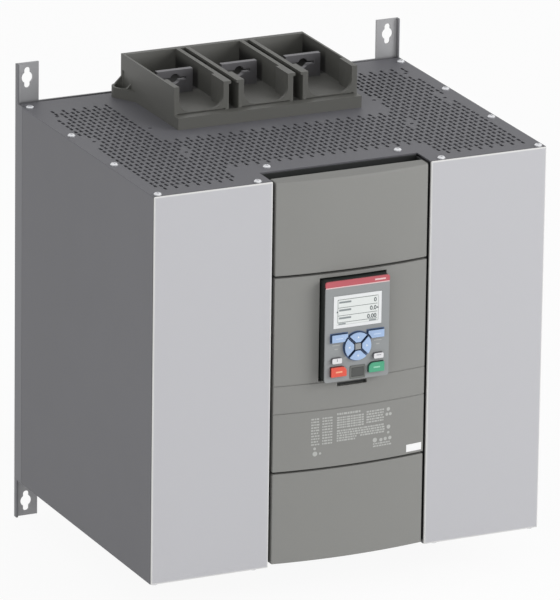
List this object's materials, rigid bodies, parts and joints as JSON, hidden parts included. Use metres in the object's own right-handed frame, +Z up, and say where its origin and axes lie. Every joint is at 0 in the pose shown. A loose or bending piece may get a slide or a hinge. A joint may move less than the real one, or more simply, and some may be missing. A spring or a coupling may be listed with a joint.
{
  "type": "soft starter",
  "caption": "Three-phase motor soft starter in a wall-mounted sheet-metal case with a perforated top, busbar terminal shrouds and a slide-out keypad.",
  "frame": {"origin": "on the wall plane, midway between the four keyholes of the mounting frame", "axes": "+X to the viewer's right, +Y back into the wall, +Z up towards the line terminals"},
  "size_m": [0.435, 0.3666, 0.493],
  "materials": {
    "grey_paint": "satin",
    "light_paint": "satin",
    "zinc_steel": "satin",
    "cover_plastic": "matte",
    "shroud_plastic": "matte",
    "black_plastic": "matte",
    "pad_plastic": "satin",
    "strip_plastic": "gloss",
    "frame_plastic": "satin",
    "display_glass": "gloss",
    "blue_key": "gloss",
    "white_key": "gloss",
    "red_key": "gloss",
    "green_key": "gloss",
    "tinned_copper": "satin",
    "sink_aluminium": "satin",
    "disc_ceramic": "gloss",
    "circuit_board": "gloss",
    "label_paper": "matte"
  },
  "bodies": {
    "case": {"chassis": "grey_paint", "sink_rails": "zinc_steel", "tie_straps": "zinc_steel", "partition": "zinc_steel", "side_left": "grey_paint", "side_right": "grey_paint", "top_cover": "grey_paint", "bottom_cover": "grey_paint", "front_left": "light_paint", "front_right": "light_paint", "bay_tray": "black_plastic", "control_board": "circuit_board", "board_parts": "circuit_board", "upper_cover": "cover_plastic", "middle_cover": "cover_plastic", "lower_cover": "cover_plastic", "blank_label": "label_paper", "line_shroud": "shroud_plastic", "load_shroud": "shroud_plastic", "line_bars": "tinned_copper", "load_bars": "tinned_copper", "current_sensors": "black_plastic", "rear_sinks": "sink_aluminium", "front_sinks": "sink_aluminium", "thyristors": "disc_ceramic", "clamp_bolts": "zinc_steel", "bypass_1": "black_plastic", "bypass_2": "black_plastic", "bypass_3": "black_plastic", "fan_frame_1": "black_plastic", "fan_frame_2": "black_plastic", "fan_frame_3": "black_plastic", "top_screws": "zinc_steel", "bottom_screws": "zinc_steel", "shroud_screws": "zinc_steel"},
    "keypad": {"pad_housing": "black_plastic", "pad_board": "circuit_board", "pad_face": "pad_plastic", "pad_strip": "strip_plastic", "display_frame": "frame_plastic", "display_glass": "display_glass", "port_socket": "zinc_steel"},
    "flap": {"port_flap": "pad_plastic"},
    "key_soft_key_left": {"soft_key_left": "blue_key"},
    "key_soft_key_right": {"soft_key_right": "blue_key"},
    "key_nav_up": {"nav_up": "blue_key"},
    "key_nav_left": {"nav_left": "blue_key"},
    "key_nav_down": {"nav_down": "blue_key"},
    "key_nav_right": {"nav_right": "blue_key"},
    "key_info_key": {"info_key": "white_key"},
    "key_local_key": {"local_key": "white_key"},
    "key_stop_key": {"stop_key": "red_key"},
    "key_start_key": {"start_key": "green_key"},
    "rotor_1": {"fan_rotor_1": "black_plastic"},
    "rotor_2": {"fan_rotor_2": "black_plastic"},
    "rotor_3": {"fan_rotor_3": "black_plastic"}
  },
  "joints": [
    {"name": "keypad_slide", "type": "slide", "parent": "case", "child": "keypad", "axis": [0, -1, 0], "range_m": [0, 0.03]},
    {"name": "soft_key_left_press", "type": "slide", "parent": "keypad", "child": "key_soft_key_left", "axis": [0, 1, 0], "range_m": [0, 0.001], "stiffness_N_per_m": 300, "springref_m": -0.0003},
    {"name": "soft_key_right_press", "type": "slide", "parent": "keypad", "child": "key_soft_key_right", "axis": [0, 1, 0], "range_m": [0, 0.001], "stiffness_N_per_m": 300, "springref_m": -0.0003},
    {"name": "nav_up_press", "type": "slide", "parent": "keypad", "child": "key_nav_up", "axis": [0, 1, 0], "range_m": [0, 0.001], "stiffness_N_per_m": 300, "springref_m": -0.0003},
    {"name": "nav_left_press", "type": "slide", "parent": "keypad", "child": "key_nav_left", "axis": [0, 1, 0], "range_m": [0, 0.001], "stiffness_N_per_m": 300, "springref_m": -0.0003},
    {"name": "nav_down_press", "type": "slide", "parent": "keypad", "child": "key_nav_down", "axis": [0, 1, 0], "range_m": [0, 0.001], "stiffness_N_per_m": 300, "springref_m": -0.0003},
    {"name": "nav_right_press", "type": "slide", "parent": "keypad", "child": "key_nav_right", "axis": [0, 1, 0], "range_m": [0, 0.001], "stiffness_N_per_m": 300, "springref_m": -0.0003},
    {"name": "info_key_press", "type": "slide", "parent": "keypad", "child": "key_info_key", "axis": [0, 1, 0], "range_m": [0, 0.001], "stiffness_N_per_m": 300, "springref_m": -0.0003},
    {"name": "local_key_press", "type": "slide", "parent": "keypad", "child": "key_local_key", "axis": [0, 1, 0], "range_m": [0, 0.001], "stiffness_N_per_m": 300, "springref_m": -0.0003},
    {"name": "stop_key_press", "type": "slide", "parent": "keypad", "child": "key_stop_key", "axis": [0, 1, 0], "range_m": [0, 0.001], "stiffness_N_per_m": 300, "springref_m": -0.0003},
    {"name": "start_key_press", "type": "slide", "parent": "keypad", "child": "key_start_key", "axis": [0, 1, 0], "range_m": [0, 0.001], "stiffness_N_per_m": 300, "springref_m": -0.0003},
    {"name": "port_flap_hinge", "type": "hinge", "parent": "keypad", "child": "flap", "pos_m": [0.001, -0.363, 0.0023], "axis": [-1, 0, 0], "range_deg": [0, 90]},
    {"name": "fan_spin_1", "type": "hinge", "parent": "case", "child": "rotor_1", "pos_m": [-0.133, -0.225, -0.18], "axis": [0, 0, 1], "continuous": true},
    {"name": "fan_spin_2", "type": "hinge", "parent": "case", "child": "rotor_2", "pos_m": [0, -0.225, -0.18], "axis": [0, 0, 1], "continuous": true},
    {"name": "fan_spin_3", "type": "hinge", "parent": "case", "child": "rotor_3", "pos_m": [0.133, -0.225, -0.18], "axis": [0, 0, 1], "continuous": true}
  ]
}
